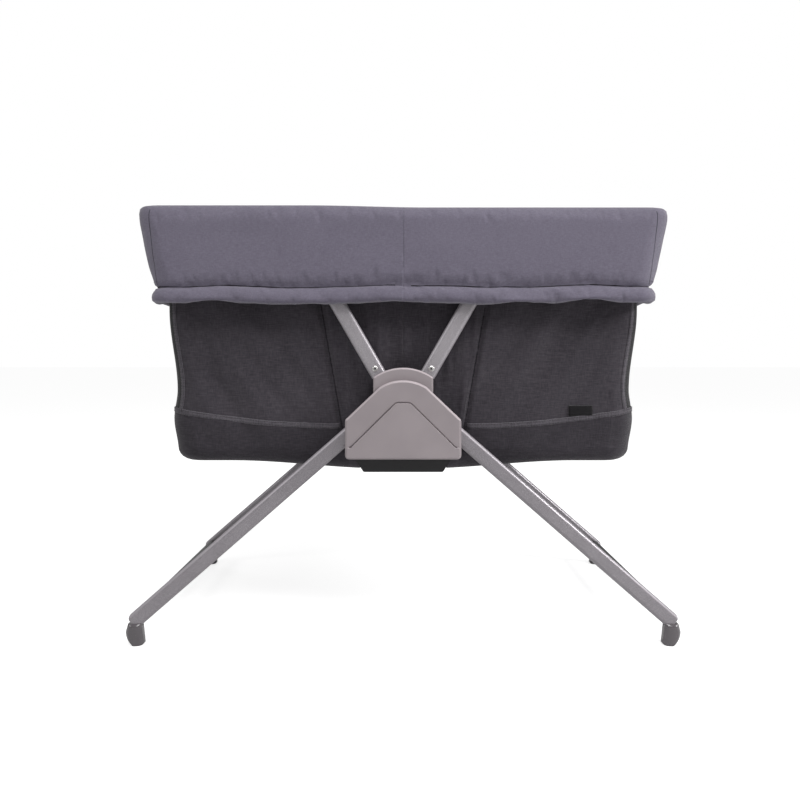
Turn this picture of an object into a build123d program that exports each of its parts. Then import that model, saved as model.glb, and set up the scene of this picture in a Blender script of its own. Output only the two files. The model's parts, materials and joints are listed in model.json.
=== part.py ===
from build123d import *
import math
import os

# Folding bassinet on a splayed stand. Millimetres, +X to the right along the long side, +Y to the
# back, +Z up. The origin is on the floor under the middle. Everything is drawn on the right (+X)
# and back (+Y) and mirrored to the left and front.

# ---- driving dimensions -------------------------------------------------------------------------
RIM_Z = 722.0  # centre line of the rim rails
RIM_Y = 237.0  # centre line of the long rails
RIM_X = 432.0  # centre line of the end rails
RAIL_D = 19.0
RAIL_WALL = 1.4
RIM_CORNER_R = 28.0
HALF_GAP = 0.3  # each fabric half stops this far from the middle

STAND_Y = 255.0  # middle plane of arms and legs
OVAL_W, OVAL_T, OVAL_WALL = 26.5, 14.0, 1.5  # flat-oval tube

ARM_FOOT = (25.6, 430.0)  # x, z of the arm's pivot in the hub
ARM_HEAD = (194.0, RIM_Z)  # x, z of the arm's pivot on the rim
LEG_HEAD = (52.0, 391.7)  # x, z of the leg's pivot in the hub
LEG_ANGLE = 41.05  # below the horizontal
LEG_END = 540.0  # length of tube below the pivot
FOOT_TOP = 37.0

PIN_D, PIN_FIT = 8.0, 0.1  # hub pins and the extra diameter of their holes
RIM_PIN_D = 6.0

PLATE_Y = (242.0, 246.0)  # steel plate on the cot's side of each hub
SHELL_Y = (263.4, 283.0)  # rear moulding with the arched top
COVER_Y = (283.0, 297.0)  # front moulding
COVER_BEVEL, SHELL_BEVEL = 3.0, 2.2
PANEL_Y = 300.0  # face of the raised triangle
SHELL_WALL = 2.5
SPACER_Z = (350.0, 400.0, 452.0)
SPACER_D, SCREW_D = 10.0, 4.0
LOCK_Y = (266.0, 270.0)

BEAM_X, BEAM_Z = 68.0, (291.0, 303.0)

# fabric tub, height: (half length, half width, corner radius)
TUB = {305: (377, 222, 40), 330: (401, 233, 44), 380: (406, 236, 44), 430: (400, 235, 42),
       570: (412, 238, 36), 708: (418, 241, 30)}
TUB_WALL = 4.0
# cuff folded down over the rim, height: (half length, half width, corner radius)
CUFF = {604: (423, 272, 34), 730: (450, 276, 30), 742: (442, 268, 24)}
HEM = {578: (427, 279, 34), 604: (429, 279, 34)}
CUFF_INNER = {577: (417.5, 263.6, 24), 604: (417.5, 263.6, 24), 708: (438.4, 263.6, 22),
              722: (442.3, 263.6, 22), 737.6: (442.4, 263.6, 22)}
MOUTH_X, MOUTH_Y = 413.0, 217.0  # half opening inside the padded rim
BOARD_Z, MATTRESS_Z = (309.6, 312.8), (313.2, 336.0)


# ---- small helpers ------------------------------------------------------------------------------
def block(x, y, z):
    """A box between three pairs of limits."""
    size = [pair[1] - pair[0] for pair in (x, y, z)]
    middle = [(pair[0] + pair[1]) / 2 for pair in (x, y, z)]
    return Pos(*middle) * Box(*size)


def facing(y):
    """The upright plane at y, on which a sketch's axes are the object's x and z."""
    return Plane(origin=(0, y, 0), x_dir=(1, 0, 0), z_dir=(0, -1, 0))


def slab(outline, y):
    """A sketch drawn in x and z, thickened from y[0] to y[1]."""
    return extrude(facing(y[1]) * outline, amount=y[1] - y[0])


def rod(x, z, diameter, y):
    """A round bar along Y."""
    plane = Plane(origin=(x, y[0], z), x_dir=(1, 0, 0), z_dir=(0, 1, 0))
    return extrude(plane * Circle(diameter / 2), amount=y[1] - y[0])


def loft_rings(rings, inset=0.0):
    """A lofted body through rounded rectangles at several heights."""
    sections = []
    for z, (half_x, half_y, radius) in sorted(rings.items()):
        shape = RectangleRounded(2 * (half_x - inset), 2 * (half_y - inset), radius - inset)
        sections.append(Plane(origin=(0, 0, z)) * shape)
    return loft(sections, ruled=True)


def right_half(solid):
    return solid & block((HALF_GAP, 600), (-400, 400), (-10, 900))


def along(start, angle, distance):
    """The x and z of a point a distance along a direction."""
    a = math.radians(angle)
    return start[0] + distance * math.cos(a), start[1] + distance * math.sin(a)


def oval_bar(start, angle, first, last, width, thick):
    """A solid flat-oval bar in the stand's plane."""
    x, z = along(start, angle, first)
    direction = (math.cos(math.radians(angle)), 0, math.sin(math.radians(angle)))
    plane = Plane(origin=(x, STAND_Y, z), x_dir=(direction[2], 0, -direction[0]), z_dir=direction)
    return extrude(plane * SlotOverall(width, thick), amount=last - first)


def oval_tube(start, angle, first, last):
    outer = oval_bar(start, angle, first, last, OVAL_W, OVAL_T)
    inner = oval_bar(start, angle, first - 1, last + 1, OVAL_W - 2 * OVAL_WALL, OVAL_T - 2 * OVAL_WALL)
    return outer - inner


def to_front(solid):
    return mirror(solid, about=Plane.XZ)


def to_left(solid):
    return mirror(solid, about=Plane.YZ)


def save(name, *solids):
    """Writes one node, as a group where it has several solids."""
    shape = solids[0] if len(solids) == 1 else Compound(children=list(solids))
    shape.label = name
    export_step(shape, f"parts/{name}.step")


def save_faces(name, solid):
    """The same piece on the back and, mirrored, on the front."""
    save(f"back_{name}", solid)
    save(f"front_{name}", to_front(solid))


def save_corners(name, solid):
    """The same piece at the four corners."""
    for side, move in (("right", lambda s: s), ("left", to_left)):
        save(f"back_{side}_{name}", move(solid))
        save(f"front_{side}_{name}", move(to_front(solid)))


def save_sides(name, *solids):
    """The same group of pieces on the right and, mirrored, on the left."""
    save(f"right_{name}", *solids)
    save(f"left_{name}", *[to_left(s) for s in solids])


# ---- hub ----------------------------------------------------------------------------------------
def house(inset=0.0):
    """The front moulding's outline: straight sides, slanted shoulders and a round top."""
    half, top = 96.0 - inset, 449.5 - inset
    shoulder, knee = 384.0 - 0.4 * inset, (38.6 - 0.45 * inset, 438.5 - 0.9 * inset)
    bottom = 319.0 + inset
    with BuildSketch() as sketch:
        with BuildLine():
            Polyline((-knee[0], knee[1]), (-half, shoulder), (-half, bottom), (half, bottom),
                     (half, shoulder), (knee[0], knee[1]))
            ThreePointArc((knee[0], knee[1]), (0, top), (-knee[0], knee[1]))
        make_face()
        corners = [v for v in sketch.vertices() if abs(v.X) > 60]
        fillet(corners, 7.0 - inset)
    return sketch.sketch


def arch(inset=0.0):
    """The rear moulding's outline: narrow shoulders under an arched top, on a wider foot."""
    half, top, bottom = 50.0 - inset, 470.0 - inset, 322.0 + inset
    spring_z, wide, shoulder = 454.0 - 0.6 * inset, 92.0 - inset, 386.0 - 0.4 * inset
    with BuildSketch() as sketch:
        with BuildLine():
            Polyline((-half, spring_z), (-half, 426.0), (-wide, shoulder), (-wide, bottom),
                     (wide, bottom), (wide, shoulder), (half, 426.0), (half, spring_z))
            ThreePointArc((half, spring_z), (0, top), (-half, spring_z))
        make_face()
        fillet([v for v in sketch.vertices() if v.Y > 440], 4.0 - inset)
    return sketch.sketch


def raised_triangle():
    with BuildSketch() as sketch:
        with BuildLine():
            Polyline((-11.5, 412.0), (-86.0, 338.5), (-93.0, 338.5), (-93.0, 322.0), (93.0, 322.0),
                     (93.0, 338.5), (86.0, 338.5), (11.5, 412.0), (-11.5, 412.0))
        make_face()
        fillet([v for v in sketch.vertices() if v.Y > 400], 9.0)
    return sketch.sketch


def pivots():
    """The x and z of the four pins in each hub."""
    return [(side * p[0], p[1]) for p in (ARM_FOOT, LEG_HEAD) for side in (-1, 1)]


def hub_cover():
    edge = COVER_Y[1] - COVER_BEVEL
    shell = slab(house(), (COVER_Y[0], edge))
    shell += loft([facing(edge) * house(), facing(COVER_Y[1]) * house(COVER_BEVEL)], ruled=True)
    shell -= slab(house(SHELL_WALL), (COVER_Y[0], COVER_Y[1] - SHELL_WALL))
    groove = slab(offset(raised_triangle(), 1.8), (COVER_Y[1] - 1.5, COVER_Y[1] + 1))
    shell -= groove & block((-89, 89), (200, 400), (338.5, 430))
    return shell + slab(raised_triangle(), (COVER_Y[1] - 1.6, PANEL_Y))


def hub_shell():
    edge = SHELL_Y[1] - SHELL_BEVEL
    shell = slab(arch(), (SHELL_Y[0], edge))
    shell += loft([facing(edge) * arch(), facing(SHELL_Y[1]) * arch(SHELL_BEVEL)], ruled=True)
    shell -= slab(arch(SHELL_WALL), (SHELL_Y[0], SHELL_Y[1] - SHELL_WALL))
    for x, z in pivots():
        shell -= rod(x, z, PIN_D + PIN_FIT, SHELL_Y)
    for z in SPACER_Z:
        shell -= rod(0, z, SCREW_D + PIN_FIT, (SHELL_Y[0], SHELL_Y[1] - 0.9))
    return shell - block((-15.5, 15.5), (LOCK_Y[0] - 0.5, LOCK_Y[1] + 0.5), (315, 330))


def hub_plate():
    with BuildSketch() as sketch:
        Polygon((-BEAM_X, BEAM_Z[0]), (BEAM_X, BEAM_Z[0]), (90, 325), (90, 384), (44, 428), (20, 461),
                (-20, 461), (-44, 428), (-90, 384), (-90, 325), align=None)
        fillet(sketch.vertices(), 4.0)
    plate = slab(sketch.sketch, PLATE_Y)
    for x, z in pivots():
        plate -= rod(x, z, PIN_D + PIN_FIT, PLATE_Y)
    for z in SPACER_Z:
        plate -= rod(0, z, SCREW_D + PIN_FIT, PLATE_Y)
    return plate


def hub_spacer(z):
    y = (PLATE_Y[1], SHELL_Y[1] - SHELL_WALL)
    return rod(0, z, SPACER_D, y) - rod(0, z, SCREW_D + PIN_FIT, y)


def hub_screw(z):
    head = rod(0, z, 2 * SCREW_D, (PLATE_Y[0] - 2.4, PLATE_Y[0]))
    drive = rod(0, z, 2.4, (PLATE_Y[0] - 2.4, PLATE_Y[0] - 1.0))
    return head - drive + rod(0, z, SCREW_D, (PLATE_Y[0], SHELL_Y[1] - 1.1))


def hub_pin(x, z):
    head = rod(x, z, 12.0, (PLATE_Y[0] - 2.2, PLATE_Y[0]))
    return head + rod(x, z, PIN_D, (PLATE_Y[0], SHELL_Y[1] - 0.4))


def lock_plate():
    """Slides up 8 mm inside the rear moulding; its finger tab hangs out of the bottom."""
    plate = block((-18, 18), LOCK_Y, (328, 425)) + block((-14, 14), LOCK_Y, (313, 328))
    return plate - block((-6.5, 6.5), LOCK_Y, (334, 414))


def lock_spring():
    """A bowed leaf that stands on the lock plate and pushes against the top spacer."""
    radius, thick, foot_z, crown_z = 17.4, 0.8, 425.4, 446.6
    ring = Circle(radius) - Circle(radius - thick)
    window = Pos(0, (foot_z + crown_z) / 2) * Rectangle(3 * radius, crown_z - foot_z)
    return slab(Pos(0, crown_z - radius) * ring & window, (LOCK_Y[0] + 0.4, LOCK_Y[1] - 0.4))


def centre_beam():
    """A channel under the tub that joins the two hubs."""
    y = (-PLATE_Y[0], PLATE_Y[0])
    lightening = block((4 - BEAM_X, BEAM_X - 4), y, (BEAM_Z[0] - 1, BEAM_Z[1] - 3))
    return block((-BEAM_X, BEAM_X), y, BEAM_Z) - lightening


# ---- legs ---------------------------------------------------------------------------------------
def leg():
    tube = oval_tube(LEG_HEAD, -LEG_ANGLE, -15.0, LEG_END)
    end = along(LEG_HEAD, -LEG_ANGLE, LEG_END - 8.0)
    keep = oval_bar(LEG_HEAD, -LEG_ANGLE, -16.0, LEG_END - 8.0, OVAL_W, OVAL_T)
    corner = Pos(*end) * Rot(0, 0, -LEG_ANGLE) * RectangleRounded(16.0, OVAL_W, 7.5)
    tube = tube & (keep + slab(corner, (STAND_Y - OVAL_T / 2, STAND_Y + OVAL_T / 2)))
    return tube - rod(*LEG_HEAD, PIN_D + PIN_FIT, (240, 270))


def leg_plug():
    """Plastic plug in the leg's upper end, with a rounded cap; the pin goes through it."""
    core = oval_bar(LEG_HEAD, -LEG_ANGLE, -15.0, 24.0, OVAL_W - 2 * OVAL_WALL - 0.1,
                    OVAL_T - 2 * OVAL_WALL - 0.1)
    cap = oval_bar(LEG_HEAD, -LEG_ANGLE, -18.0, -15.0, OVAL_W - 1, OVAL_T - 1)
    return core + cap - rod(*LEG_HEAD, PIN_D + PIN_FIT, (240, 270))


def foot_outline(inset=0.0):
    """Narrow flat top under the leg, near-upright inner side and a rounded outer toe."""
    inner, outer, top = 439.0 + inset, 470.0 - inset, FOOT_TOP - inset
    with BuildSketch() as sketch:
        with BuildLine():
            Polyline((456, 0), (inner + 3, 0), (inner, 3), (inner + 4, top), (outer - 4, top),
                     (outer, 24))
            ThreePointArc((outer, 24), (outer - 3.5, 9), (456, 0))
        make_face()
    return sketch.sketch


FOOT_HALF, FOOT_BEVEL = 12.5, 4.0


def foot():
    """Moulded foot that wraps the end of the leg."""
    inner, outer = STAND_Y - FOOT_HALF, STAND_Y + FOOT_HALF
    solid = slab(foot_outline(), (inner + FOOT_BEVEL, outer - FOOT_BEVEL))
    for face, step in ((inner, FOOT_BEVEL), (outer, -FOOT_BEVEL)):
        ends = [facing(face) * foot_outline(FOOT_BEVEL), facing(face + step) * foot_outline()]
        solid += loft(ends, ruled=True)
    socket = oval_bar(LEG_HEAD, -LEG_ANGLE, LEG_END - 60, LEG_END + 0.2, OVAL_W + 0.1, OVAL_T + 0.1)
    return solid - socket


def cross_tube():
    """Round tube that joins the ends of the front and back leg of one side."""
    x, z = along(LEG_HEAD, -LEG_ANGLE, LEG_END - 13.5)
    y = (OVAL_T / 2 - STAND_Y, STAND_Y - OVAL_T / 2)
    return rod(x, z, RAIL_D, y) - rod(x, z, RAIL_D - 2 * RAIL_WALL, y)


# ---- arms ---------------------------------------------------------------------------------------
ARM_ANGLE = math.degrees(math.atan2(ARM_HEAD[1] - ARM_FOOT[1], ARM_HEAD[0] - ARM_FOOT[0]))
ARM_LENGTH = math.dist(ARM_FOOT, ARM_HEAD)
RIVET_AT = 43.9  # along the arm from its pivot
ARM_TUBE_FROM = 31.0


def arm():
    tube = oval_tube(ARM_FOOT, ARM_ANGLE, ARM_TUBE_FROM, ARM_LENGTH + OVAL_W / 2)
    keep = oval_bar(ARM_FOOT, ARM_ANGLE, 0, ARM_LENGTH, OVAL_W, OVAL_T)
    keep += rod(*ARM_HEAD, OVAL_W, (STAND_Y - OVAL_T / 2, STAND_Y + OVAL_T / 2))
    tube = tube & keep
    tube -= rod(*ARM_HEAD, RIM_PIN_D + PIN_FIT, (240, 270))
    return tube - rod(*along(ARM_FOOT, ARM_ANGLE, RIVET_AT), 5.0, (240, 270))


def arm_tongue():
    """Flat bar from the pivot in the hub up into the arm's tube."""
    x, z = along(ARM_FOOT, ARM_ANGLE, 35.0)
    bar = Pos(x, z) * Rot(0, 0, ARM_ANGLE) * Rectangle(70, 18)
    tongue = slab(bar + Pos(*ARM_FOOT) * Circle(9), (STAND_Y - 4, STAND_Y + 4))
    tongue -= rod(*ARM_FOOT, PIN_D + PIN_FIT, (240, 270))
    return tongue - rod(*along(ARM_FOOT, ARM_ANGLE, RIVET_AT), 5.0, (240, 270))


def arm_rivet():
    """Hollow rivet with a low domed head on each side."""
    x, z = along(ARM_FOOT, ARM_ANGLE, RIVET_AT)
    low, high = STAND_Y - OVAL_T / 2, STAND_Y + OVAL_T / 2
    body = rod(x, z, 5.0, (low, high))
    for face, out in ((low, -1), (high, 1)):
        body += rod(x, z, 10.0, sorted((face, face + out * 0.7)))
        ends = [facing(face + out * t) * Pos(x, z) * Circle(r) for t, r in ((0.7, 5.0), (1.5, 3.6))]
        body += loft(ends, ruled=True)
    return body - rod(x, z, 3.2, (low - 2, high + 2))


# ---- rim ----------------------------------------------------------------------------------------
HINGE_X = 92.0  # the rails stop this far from the middle


def straight_rail(x):
    bar = Rot(0, 90, 0) * Cylinder(RAIL_D / 2, x[1] - x[0])
    bore = Rot(0, 90, 0) * Cylinder(RAIL_D / 2 - RAIL_WALL, x[1] - x[0])
    rail = Pos((x[0] + x[1]) / 2, RIM_Y, RIM_Z) * (bar - bore)
    return rail - rod(*ARM_HEAD, RIM_PIN_D + 0.05, (220, 250))


def end_rail():
    y = (RIM_CORNER_R - RIM_Y, RIM_Y - RIM_CORNER_R)
    return rod(RIM_X, RIM_Z, RAIL_D, y) - rod(RIM_X, RIM_Z, RAIL_D - 2 * RAIL_WALL, y)


def rim_corner():
    """Quarter bend between a long rail and the end rail."""
    centre = (RIM_X - RIM_CORNER_R, RIM_Y - RIM_CORNER_R, RIM_Z)
    plane = Plane(origin=centre, x_dir=(1, 0, 0), z_dir=(0, -1, 0))
    section = plane * (Pos(RIM_CORNER_R, 0) * (Circle(RAIL_D / 2) - Circle(RAIL_D / 2 - 2)))
    return revolve(section, Axis(centre, (0, 0, 1)), revolution_arc=90)


def rim_hinge(y):
    """Flat hinge half that reaches past the middle, lapped beside the other side's half."""
    bar = Pos(HINGE_X / 2, RIM_Z) * Rectangle(HINGE_X, 16)
    plate = slab(bar + Pos(0, RIM_Z) * Circle(8), y)
    return plate - rod(0, RIM_Z, RIM_PIN_D, y)


def saddle():
    """Block on the long rail that carries the arm's pin."""
    body = block((174, 214), (RIM_Y - 11.5, RIM_Y + 10.6), (710, 733.6))
    body -= Pos(194, RIM_Y, RIM_Z) * Rot(0, 90, 0) * Cylinder(RAIL_D / 2 + 0.05, 60)
    return body - rod(*ARM_HEAD, RIM_PIN_D + 0.05, (220, 250))


def saddle_pin():
    return rod(*ARM_HEAD, RIM_PIN_D, (RIM_Y - 11.5, STAND_Y + OVAL_T / 2 + 1.0))


# ---- fabric -------------------------------------------------------------------------------------
def tub():
    outer = loft_rings(TUB)
    inside = {z + (TUB_WALL if z == min(TUB) else 0): ring for z, ring in TUB.items()}
    inside[max(TUB) + 2] = inside.pop(max(TUB))
    return right_half(outer - loft_rings(inside, TUB_WALL))


def cuff():
    outer = loft_rings(CUFF) + loft_rings(HEM)
    mouth = block((-MOUTH_X, MOUTH_X), (-MOUTH_Y, MOUTH_Y), (500, 800))
    return right_half(outer - loft_rings(CUFF_INNER) - mouth)


def pad(half_x, half_y, radius, z):
    shape = RectangleRounded(2 * half_x, 2 * half_y, radius)
    return right_half(extrude(Plane(origin=(0, 0, z[0])) * shape, amount=z[1] - z[0]))


# ---- write the nodes ----------------------------------------------------------------------------
def save_hubs():
    save_faces("hub_cover", hub_cover())
    save_faces("hub_shell", hub_shell())
    save_faces("hub_plate", hub_plate())
    save_faces("lock_plate", lock_plate())
    save_faces("lock_spring", lock_spring())
    for face, move in (("back", lambda s: s), ("front", to_front)):
        save(f"{face}_hub_spacers", *[move(hub_spacer(z)) for z in SPACER_Z])
        save(f"{face}_hub_screws", *[move(hub_screw(z)) for z in SPACER_Z])
        save(f"{face}_hub_pins", *[move(hub_pin(x, z)) for x, z in pivots()])
    save("centre_beam", centre_beam())


def both(solid):
    return solid, to_front(solid)


def save_stand():
    save_corners("leg", leg())
    save_corners("foot", foot())
    save_sides("cross_tube", cross_tube())
    save_sides("leg_plugs", *both(leg_plug()))
    save_corners("arm", arm())
    save_sides("arm_tongues", *both(arm_tongue()))
    save_sides("arm_rivets", *both(arm_rivet()))


def save_rim():
    rail_end = RIM_X - RIM_CORNER_R
    save_corners("rail", straight_rail((HINGE_X, rail_end)))
    save_sides("end_rail", end_rail())
    save_sides("rim_corners", *both(rim_corner()))
    save_sides("saddles", *both(saddle()))
    save_sides("saddle_pins", *both(saddle_pin()))
    right_lap, left_lap = (RIM_Y + 0.3, RIM_Y + 9.1), (RIM_Y - 9.1, RIM_Y - 0.3)
    save("right_rim_hinges", *both(rim_hinge(right_lap)))
    save("left_rim_hinges", *[to_left(s) for s in both(rim_hinge(left_lap))])
    pin = rod(0, RIM_Z, RIM_PIN_D, (RIM_Y - 9.1, RIM_Y - 0.3))
    save("rim_hinge_pins", *both(pin))


def save_fabric():
    save_sides("tub", tub())
    save_sides("cuff", cuff())
    save_sides("floor_board", pad(367, 212, 20, BOARD_Z))
    save_sides("mattress", pad(376, 214, 24, MATTRESS_Z))


os.makedirs("parts", exist_ok=True)
save_hubs()
save_stand()
save_rim()
save_fabric()
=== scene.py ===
# %% [markdown]
# # A folding bassinet, dressed around its frame
# The imported frame brings every tube, hub and hinge in at its true place. This notebook adds what a
# frame drawing can't hold: woven cloth, padding, netting, stitches, and a finish for each part.
# We start by loading the frame.

# %% Load the frame
import json
import math

import bmesh
import bpy
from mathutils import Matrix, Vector, noise


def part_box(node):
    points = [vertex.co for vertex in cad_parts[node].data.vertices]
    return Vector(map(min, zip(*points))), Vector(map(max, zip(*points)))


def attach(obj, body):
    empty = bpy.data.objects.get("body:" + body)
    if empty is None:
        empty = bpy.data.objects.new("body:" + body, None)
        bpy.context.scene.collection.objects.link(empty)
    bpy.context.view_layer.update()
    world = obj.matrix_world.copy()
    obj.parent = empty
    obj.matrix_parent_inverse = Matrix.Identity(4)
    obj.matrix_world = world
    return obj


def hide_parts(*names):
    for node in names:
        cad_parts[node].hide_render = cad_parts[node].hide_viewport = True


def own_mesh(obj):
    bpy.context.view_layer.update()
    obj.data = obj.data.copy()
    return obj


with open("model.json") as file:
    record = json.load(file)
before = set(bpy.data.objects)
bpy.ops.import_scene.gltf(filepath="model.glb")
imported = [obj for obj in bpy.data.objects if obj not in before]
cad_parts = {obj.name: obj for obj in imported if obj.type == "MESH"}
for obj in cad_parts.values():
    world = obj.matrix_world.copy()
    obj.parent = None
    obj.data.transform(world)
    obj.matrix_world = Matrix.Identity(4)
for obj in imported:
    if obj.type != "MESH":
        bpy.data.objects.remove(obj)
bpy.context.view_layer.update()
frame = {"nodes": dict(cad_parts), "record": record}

print("nodes:", len(frame["nodes"]))


# %% [markdown]
# ## Where things are
# Sizes come from the frame's own boxes, so that the cloth follows the tubes if they are redrawn.
# The rim is the line that the whole bed hangs from; the hubs stand on the two long sides.

# %% Measure the frame
cuff_low, cuff_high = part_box("right_cuff")

CUFF_HEM, CUFF_TOP = cuff_low[2], cuff_high[2]
CUFF_X, CUFF_Y = cuff_high[0], cuff_high[1]

# %% [markdown]
# ## Camera, floor and light
# A plain pale floor that runs out to the horizon keeps the eye on the object. The camera is level and
# looks along +Y at a little below rim height; a small downward shift frames the feet without tilting,
# so that upright lines stay upright.

# %% Camera
EYE_Z = 0.491
EYE_TO_LEGS = 1.311
LENS_MM, SENSOR_MM = 34.7, 36.0
leg_low, leg_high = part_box("front_left_leg")

camera_data = bpy.data.cameras.new("Camera")
camera_data.lens, camera_data.sensor_width = LENS_MM, SENSOR_MM
camera_data.shift_x, camera_data.shift_y = -0.004, -0.056
camera_data.dof.use_dof = False
camera = bpy.data.objects.new("Camera", camera_data)
bpy.context.collection.objects.link(camera)
camera.location = (0, (leg_low[1] + leg_high[1]) / 2 - EYE_TO_LEGS, EYE_Z)
camera.rotation_euler = (math.radians(90), 0, 0)
bpy.context.scene.camera = camera
print("camera at", tuple(round(v, 3) for v in camera.location))


# %% Small helpers for meshes
def new_piece(name, points, faces, material=None, smooth=True):
    """A mesh object whose place is in its mesh."""
    mesh = bpy.data.meshes.new(name)
    mesh.from_pydata([tuple(p) for p in points], [], [tuple(f) for f in faces])
    mesh.validate()
    piece = bpy.data.objects.new(name, mesh)
    bpy.context.collection.objects.link(piece)
    if material:
        mesh.materials.append(material)
    for polygon in mesh.polygons:
        polygon.use_smooth = smooth
    return piece


def edit(piece, work):
    """Runs work(bm) on a piece's mesh."""
    bm = bmesh.new()
    bm.from_mesh(piece.data)
    work(bm)
    bm.to_mesh(piece.data)
    bm.free()
    piece.data.update()
    return piece


def face_outwards(piece):
    return edit(piece, lambda bm: bmesh.ops.recalc_face_normals(bm, faces=bm.faces[:]))


def node_copy(node_name, name, material=None):
    """A frame node's mesh as a piece of its own, with its corners joined."""
    piece = bpy.data.objects.new(name, frame["nodes"][node_name].data.copy())
    bpy.context.collection.objects.link(piece)
    if material:
        piece.data.materials.clear()
        piece.data.materials.append(material)
    return edit(piece, lambda bm: bmesh.ops.remove_doubles(bm, verts=bm.verts, dist=1e-5))


def quad(row, place, count, rows=0):
    """The face between a ring of count points and the next. Given rows, the last ring meets the first."""
    up, right = (row + 1) % rows if rows else row + 1, (place + 1) % count
    return row * count + place, up * count + place, up * count + right, row * count + right


def apply_modifiers(piece):
    """Turns the shown shape into the piece's own plain mesh."""
    graph = bpy.context.evaluated_depsgraph_get()
    graph.update()
    mesh = bpy.data.meshes.new_from_object(piece.evaluated_get(graph))
    piece.modifiers.clear()
    piece.data = mesh
    return piece


def triangles(piece):
    return sum(len(p.vertices) - 2 for p in piece.data.polygons)


# %% Floor and lights
FLOOR_HALF = 30.0
corners = [(x * FLOOR_HALF, y * FLOOR_HALF, 0.0) for x, y in ((-1, -1), (1, -1), (1, 1), (-1, 1))]
floor = new_piece("studio_floor", corners, [(0, 1, 2, 3)])


def seen_as(tree, socket, lighting, seen):
    """Feeds a strength that is one value for lighting and another where it is looked at."""
    rays = tree.nodes.new("ShaderNodeLightPath")
    level = tree.nodes.new("ShaderNodeMapRange")
    level.inputs["To Min"].default_value, level.inputs["To Max"].default_value = lighting, seen
    tree.links.new(rays.outputs["Is Camera Ray"], level.inputs["Value"])
    tree.links.new(level.outputs["Result"], socket)


paper = bpy.data.materials.new("pale paper")
paper.use_nodes = True
paper_shader = paper.node_tree.nodes["Principled BSDF"]
paper_shader.inputs["Base Color"].default_value = (0.80, 0.80, 0.80, 1)
paper_shader.inputs["Roughness"].default_value = 0.9
paper_shader.inputs["Specular IOR Level"].default_value = 0.0
paper_shader.inputs["Emission Color"].default_value = (1, 1, 1, 1)
seen_as(paper.node_tree, paper_shader.inputs["Emission Strength"], lighting=0.0, seen=0.70)
floor.data.materials.append(paper)


def area_light(name, place, target, size, power):
    data = bpy.data.lights.new(name, "AREA")
    data.shape, data.size, data.energy = "SQUARE", size, power
    light = bpy.data.objects.new(name, data)
    bpy.context.collection.objects.link(light)
    light.location = place
    light.rotation_euler = (Vector(target) - Vector(place)).to_track_quat("-Z", "Y").to_euler()
    return light


middle = (0, 0, 0.45)
area_light("soft box above the front", (0.2, -1.5, 2.8), middle, 1.5, 38)
area_light("key from upper right", (2.6, -1.2, 1.7), middle, 0.6, 42)
area_light("kicker from upper left", (-2.4, -1.3, 1.9), middle, 0.7, 8)
area_light("rim from behind", (-1.0, 2.8, 2.2), middle, 1.4, 10)
room = bpy.data.worlds.new("white room")
room.use_nodes = True
room_shader = room.node_tree.nodes["Background"]
room_shader.inputs["Color"].default_value = (1, 1, 1, 1)
seen_as(room.node_tree, room_shader.inputs["Strength"], lighting=0.34, seen=1.0)
bpy.context.scene.world = room
bpy.context.scene.view_settings.view_transform = "Standard"


# %% [markdown]
# ## Finishes
# A finish is a small network of nodes. The colour is never one flat value: tiny specks, soft blotches
# and fine bumps are what make moulded plastic, powder coat and cloth look like themselves. All
# patterns read Object coordinates, in metres, so they keep their real scale on every piece.

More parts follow.
